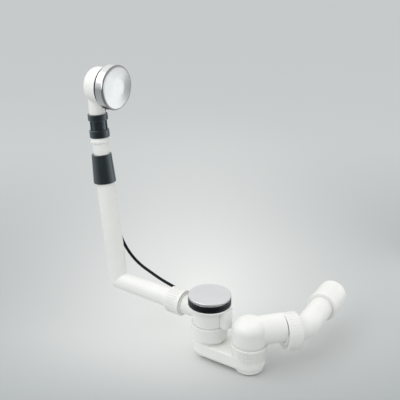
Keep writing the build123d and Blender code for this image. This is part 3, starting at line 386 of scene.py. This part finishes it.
def black_gloss(tree, shader, ior):
    """Cool gloss of the black pieces, which rises towards grazing angles."""
    shader.inputs["IOR"].default_value = ior
    shader.inputs["Specular Tint"].default_value = BLACK_TINT
    weight = tree.nodes.new("ShaderNodeLayerWeight")
    shine = remap(tree, weight.outputs["Facing"], GRAZING, BLACK_SHINE)
    tree.links.new(shine, shader.inputs["Specular IOR Level"])


def shade(colour, factor):
    """Lighter or darker tone of a colour."""
    return tuple(min(1.0, channel * factor) for channel in colour)


def white_plastic(finish):
    """Moulded white plastic: faint cloudiness, painted shade in recesses, fine texture, low gloss."""
    material, tree, shader, place = blank_material("white_plastic")
    cloud = spread(tree, noise(tree, place, scale=22.0, detail=4.0))
    tone = two_tone(tree, cloud, shade(finish.white, 0.975), shade(finish.white, 1.012))
    # Painted shade: the white darkens in grooves, corners and between parts, where less open space
    # surrounds the point.
    painted_recess_shade = ramp(tree, openness(tree, PAINTED_SHADE_REACH), start=0.9, end=0.3)
    tone = blend(tree, painted_recess_shade, tone, shade(finish.white, 0.82))
    tree.links.new(tone, shader.inputs["Base Color"])
    smooth = finish.white_roughness - 0.05
    dull = finish.white_roughness + 0.06
    patches = noise(tree, place, scale=60.0, detail=5.0)
    tree.links.new(spread(tree, patches, smooth, dull), shader.inputs["Roughness"])
    grain = noise(tree, place, scale=1400.0, detail=2.0)
    relief(tree, shader, grain, depth=0.02 * MM, strength=0.35)
    shader.inputs["IOR"].default_value = WHITE_IOR
    return material


def black_rubber(finish, name, ior):
    """Rubber with a bloom that lightens it in patches."""
    material, tree, shader, place = blank_material(name)
    bloom = spread(tree, noise(tree, place, scale=40.0, detail=6.0, roughness=0.6))
    tone = two_tone(tree, bloom, finish.rubber, shade(finish.rubber, 1.7))
    tree.links.new(tone, shader.inputs["Base Color"])
    patches = noise(tree, place, scale=150.0, detail=4.0)
    tree.links.new(spread(tree, patches, low=0.36, high=0.48), shader.inputs["Roughness"])
    grain = noise(tree, place, scale=1100.0, detail=3.0)
    relief(tree, shader, grain, depth=0.04 * MM, strength=0.5)
    black_gloss(tree, shader, ior)
    return material


def black_plastic(finish, name, ior):
    """Black moulding, smoother than the rubber."""
    material, tree, shader, place = blank_material(name)
    cloud = spread(tree, noise(tree, place, scale=55.0, detail=4.0))
    tone = two_tone(tree, cloud, finish.black, shade(finish.black, 1.5))
    tree.links.new(tone, shader.inputs["Base Color"])
    patches = noise(tree, place, scale=220.0, detail=4.0)
    tree.links.new(spread(tree, patches, low=0.28, high=0.38), shader.inputs["Roughness"])
    grain = noise(tree, place, scale=1300.0, detail=2.0)
    relief(tree, shader, grain, depth=0.03 * MM, strength=0.4)
    black_gloss(tree, shader, ior)
    return material


def satin_chrome(finish, name, roughness):
    """Chrome plate with a satin face."""
    material, tree, shader, place = blank_material(name)
    haze = spread(tree, noise(tree, place, scale=35.0, detail=5.0))
    tone = two_tone(tree, haze, shade(finish.chrome, 0.97), finish.chrome)
    tree.links.new(tone, shader.inputs["Base Color"])
    shader.inputs["Metallic"].default_value = FULL_METAL
    patches = noise(tree, place, scale=240.0, detail=4.0)
    rough = spread(tree, patches, low=roughness - CHROME_HAZE, high=roughness + CHROME_HAZE)
    tree.links.new(rough, shader.inputs["Roughness"])
    grain = noise(tree, place, scale=2600.0, detail=1.0)
    relief(tree, shader, grain, depth=0.004 * MM, strength=0.4)
    return material


def paint_edge_reflection(material, tone):
    """Painted dark reflection in a band where the knob's face, which looks along X, turns into its side.
    """
    tree = material.node_tree
    base = tree.nodes["Principled BSDF"].inputs["Base Color"]
    facing = tree.nodes.new("ShaderNodeSeparateXYZ")
    tree.links.new(tree.nodes.new("ShaderNodeTexCoord").outputs["Normal"], facing.inputs["Vector"])
    band = tree.nodes.new("ShaderNodeMath")
    band.operation = "MULTIPLY"
    tree.links.new(ramp(tree, facing.outputs["X"], start=0.15, end=0.45), band.inputs[0])
    tree.links.new(ramp(tree, facing.outputs["X"], start=0.97, end=0.8), band.inputs[1])
    tree.links.new(blend(tree, band.outputs["Value"], base.links[0].from_socket, tone), base)
    return material


def stainless_steel(finish):
    """Stainless steel, finely mottled."""
    material, tree, shader, place = blank_material("stainless_steel")
    haze = spread(tree, noise(tree, place, scale=90.0, detail=5.0))
    tone = two_tone(tree, haze, shade(finish.steel, 0.9), shade(finish.steel, 1.08))
    tree.links.new(tone, shader.inputs["Base Color"])
    shader.inputs["Metallic"].default_value = FULL_METAL
    patches = noise(tree, place, scale=500.0, detail=4.0)
    tree.links.new(spread(tree, patches, low=0.22, high=0.34), shader.inputs["Roughness"])
    grain = noise(tree, place, scale=3000.0, detail=1.0)
    relief(tree, shader, grain, depth=0.006 * MM, strength=0.5)
    return material


def turned_brass(finish):
    """Brass, slightly dulled."""
    material, tree, shader, place = blank_material("turned_brass")
    haze = spread(tree, noise(tree, place, scale=120.0, detail=5.0))
    tone = two_tone(tree, haze, shade(finish.brass, 0.8), shade(finish.brass, 1.06))
    tree.links.new(tone, shader.inputs["Base Color"])
    shader.inputs["Metallic"].default_value = FULL_METAL
    patches = noise(tree, place, scale=400.0, detail=4.0)
    tree.links.new(spread(tree, patches, low=0.24, high=0.4), shader.inputs["Roughness"])
    grain = noise(tree, place, scale=2400.0, detail=1.0)
    relief(tree, shader, grain, depth=0.008 * MM, strength=0.5)
    return material


def dress(names, material):
    """Gives CAD pieces a material."""
    for name in names:
        slots = NODES[name].data.materials
        slots.clear()
        slots.append(material)


class BATHWASTE_OT_white_mouldings(bpy.types.Operator):
    """Finish the white pipes, nuts and bodies"""

    bl_idname = "bathwaste.white_mouldings"
    bl_label = "White mouldings"

    def execute(self, context):
        dress(WHITE_MOULDINGS, white_plastic(context.scene.bathwaste_finish))
        return {"FINISHED"}


class BATHWASTE_OT_black_pieces(bpy.types.Operator):
    """Finish the rubber rings, the boot, the coupling and the cable"""

    bl_idname = "bathwaste.black_pieces"
    bl_label = "Black pieces"

    def execute(self, context):
        finish = context.scene.bathwaste_finish
        dress(RUBBER_RINGS, black_rubber(finish, "ring_rubber", RING_IOR))
        dress(BOOTS, black_rubber(finish, "boot_rubber", BOOT_IOR))
        dress(COUPLINGS, black_plastic(finish, "coupling_plastic", COUPLING_IOR))
        dress(CABLES, black_plastic(finish, "cable_plastic", CABLE_IOR))
        return {"FINISHED"}


class BATHWASTE_OT_metal_pieces(bpy.types.Operator):
    """Finish the chromed, steel and brass pieces"""

    bl_idname = "bathwaste.metal_pieces"
    bl_label = "Metal pieces"

    def execute(self, context):
        finish = context.scene.bathwaste_finish
        knob_chrome = satin_chrome(finish, "knob_chrome", finish.knob_roughness)
        # The knob's chrome gets a painted dark reflection round the edge of its face.
        dress(KNOBS, paint_edge_reflection(knob_chrome, shade(finish.chrome, KNOB_REFLECTION_SHADE)))
        dress(LIDS, satin_chrome(finish, "lid_chrome", finish.lid_roughness))
        dress(STEEL_PIECES, stainless_steel(finish))
        dress(BRASS_PIECES, turned_brass(finish))
        return {"FINISHED"}


def add_lamp(lamp):
    """Puts up a lamp turned towards the point it faces."""
    light = bpy.data.lights.new(lamp.name, "AREA")
    light.shape = "RECTANGLE"
    light.size = lamp.sides[0]
    light.size_y = lamp.sides[1]
    light.energy = lamp.power
    holder = bpy.data.objects.new(lamp.name, light)
    bpy.context.scene.collection.objects.link(holder)
    holder.location = lamp.place
    holder.rotation_euler = (Vector(lamp.aim) - Vector(lamp.place)).to_track_quat("-Z", "Y").to_euler()


def add_sheet(name, size, place, material, tilt=0.0, turn=0.0):
    """Flat sheet of the stage, tilted up and then turned round."""
    sheet = bmesh.new()
    bmesh.ops.create_grid(sheet, x_segments=1, y_segments=1, size=0.5)
    bmesh.ops.scale(sheet, verts=sheet.verts, vec=(*size, 1.0))
    bmesh.ops.rotate(sheet, verts=sheet.verts, matrix=Matrix.Rotation(tilt, 3, "X"))
    bmesh.ops.rotate(sheet, verts=sheet.verts, matrix=Matrix.Rotation(turn, 3, "Z"))
    bmesh.ops.translate(sheet, verts=sheet.verts, vec=place)
    mesh = bpy.data.meshes.new(name)
    sheet.to_mesh(mesh)
    sheet.free()
    mesh.materials.append(material)
    holder = bpy.data.objects.new(name, mesh)
    bpy.context.scene.collection.objects.link(holder)
    return holder


def add_flag(floor_height):
    """Grey sheet on the floor that only shiny faces mirror."""
    stand = (*FLAG_PLACE, floor_height + FLAG_SIZE[1] / 2)
    flag = add_sheet("grey_flag", FLAG_SIZE, stand, flag_cloth(), UPRIGHT, FLAG_TURN)
    flag.visible_camera = False
    flag.visible_diffuse = False
    flag.visible_shadow = False


def flag_cloth():
    """Grey cloth of the flag."""
    material, _, shader, _ = blank_material("flag_cloth")
    shader.inputs["Base Color"].default_value = FLAG_GREY
    shader.inputs["Roughness"].default_value = MATT_ROUGHNESS
    return material


def floor_material(studio):
    """Pale floor with a painted pool of light round the object, fading to darker tones far behind and,
    as painted shade, towards the camera.
    """
    material, tree, shader, place = blank_material("floor_paper")
    shader.inputs["Roughness"].default_value = MATT_ROUGHNESS
    # Painted pool of light: a round gradient centred near the object lightens the floor's colour.
    turned = tree.nodes.new("ShaderNodeMapping")
    turned.vector_type = "TEXTURE"
    turned.inputs["Location"].default_value = (*PAINTED_LIGHT_CENTRE, CAD_BOX[0].z)
    turned.inputs["Rotation"].default_value = (0.0, 0.0, studio.azimuth)
    turned.inputs["Scale"].default_value = (*PAINTED_LIGHT_REACH, 1.0)
    tree.links.new(place, turned.inputs["Vector"])
    painted_light_pool = tree.nodes.new("ShaderNodeTexGradient")
    painted_light_pool.gradient_type = "QUADRATIC_SPHERE"
    tree.links.new(turned.outputs["Vector"], painted_light_pool.inputs["Vector"])
    depth = tree.nodes.new("ShaderNodeSeparateXYZ")
    tree.links.new(turned.outputs["Vector"], depth.inputs["Vector"])
    behind = ramp(tree, depth.outputs["Y"], start=-0.15, end=0.65)
    rest = two_tone(tree, behind, studio.floor_near, studio.floor_far)
    painted_pool_tone = blend(tree, painted_light_pool.outputs["Fac"], rest, studio.floor)
    # Painted shade: the floor's colour darkens towards the camera.
    before = ramp(tree, depth.outputs["Y"], start=-0.02, end=-0.2)
    tree.links.new(blend(tree, before, painted_pool_tone, studio.floor_near), shader.inputs["Base Color"])
    return material


def studio_world(studio):
    """Surroundings, brightest above, behind and left, with the far floor's tone at the horizon."""
    world = bpy.data.worlds.new("studio")
    world.use_nodes = True
    tree = world.node_tree
    direction = tree.nodes.new("ShaderNodeTexCoord").outputs["Generated"]
    left = Vector((-math.cos(studio.azimuth), -math.sin(studio.azimuth), 0.0))
    back = Vector((-math.sin(studio.azimuth), math.cos(studio.azimuth), 0.0))
    up = Vector((0.0, 0.0, 1.0))
    facing = tree.nodes.new("ShaderNodeVectorMath")
    facing.operation = "DOT_PRODUCT"
    facing.inputs[1].default_value = (0.4 * left + 0.3 * back + 0.8 * up).normalized()
    tree.links.new(direction, facing.inputs[0])
    brightness = (studio.sky_front, studio.sky_back)
    level = remap(tree, facing.outputs["Value"], source=(-0.3, 1.0), target=brightness)
    height = tree.nodes.new("ShaderNodeSeparateXYZ")
    tree.links.new(direction, height.inputs["Vector"])
    haze = ramp(tree, height.outputs["Z"], start=0.3, end=0.06)
    sky = blend(tree, haze, level, studio.floor_far)
    tree.links.new(sky, tree.nodes["Background"].inputs["Color"])
    return world


def photo_camera(studio):
    """Camera at the photograph's angle."""
    away = Vector(
        (
            math.sin(studio.azimuth) * math.cos(studio.elevation),
            -math.cos(studio.azimuth) * math.cos(studio.elevation),
            math.sin(studio.elevation),
        )
    )
    view = bpy.data.cameras.new("photo_view")
    view.lens = studio.lens
    view.sensor_width = SENSOR_WIDTH_MM
    camera = bpy.data.objects.new("photo_view", view)
    bpy.context.scene.collection.objects.link(camera)
    camera.location = Vector(studio.target) + away * studio.distance
    camera.rotation_euler = (-away).to_track_quat("-Z", "Y").to_euler()
    return camera


class BATHWASTE_OT_studio(bpy.types.Operator):
    """Set the floor, the lamps, the surroundings and the camera"""

    bl_idname = "bathwaste.studio"
    bl_label = "Studio"

    def execute(self, context):
        scene = context.scene
        studio = scene.bathwaste_studio
        floor_height = CAD_BOX[0].z - FLOOR_GAP
        add_sheet("floor", (FLOOR_SIDE, FLOOR_SIDE), (0.0, 0.0, floor_height), floor_material(studio))
        add_flag(floor_height)
        for lamp in LAMPS:
            add_lamp(lamp)
        scene.world = studio_world(studio)
        scene.camera = photo_camera(studio)
        scene.view_settings.view_transform = "Standard"
        return {"FINISHED"}


OPERATORS = (
    BATHWASTE_OT_white_mouldings,
    BATHWASTE_OT_black_pieces,
    BATHWASTE_OT_metal_pieces,
    BATHWASTE_OT_studio,
)


class BATHWASTE_PT_build(bpy.types.Panel):
    """Steps that dress the bath waste"""

    bl_label = "Bath waste"
    bl_idname = "BATHWASTE_PT_build"
    bl_space_type = "VIEW_3D"
    bl_region_type = "UI"
    bl_category = "Bath waste"

    def draw(self, context):
        layout = self.layout
        for operator in OPERATORS:
            layout.operator(operator.bl_idname)
        for group in (context.scene.bathwaste_finish, context.scene.bathwaste_studio):
            for name in group.__annotations__:
                layout.prop(group, name)


CLASSES = (FinishSettings, StudioSettings, *OPERATORS, BATHWASTE_PT_build)


def register():
    for cls in CLASSES:
        bpy.utils.register_class(cls)
    bpy.types.Scene.bathwaste_finish = bpy.props.PointerProperty(type=FinishSettings)
    bpy.types.Scene.bathwaste_studio = bpy.props.PointerProperty(type=StudioSettings)


def unregister():
    del bpy.types.Scene.bathwaste_studio
    del bpy.types.Scene.bathwaste_finish
    for cls in reversed(CLASSES):
        bpy.utils.unregister_class(cls)


def main():
    register()
    bpy.ops.bathwaste.white_mouldings()
    bpy.ops.bathwaste.black_pieces()
    bpy.ops.bathwaste.metal_pieces()
    bpy.ops.bathwaste.studio()


if __name__ == "__main__":
    main()
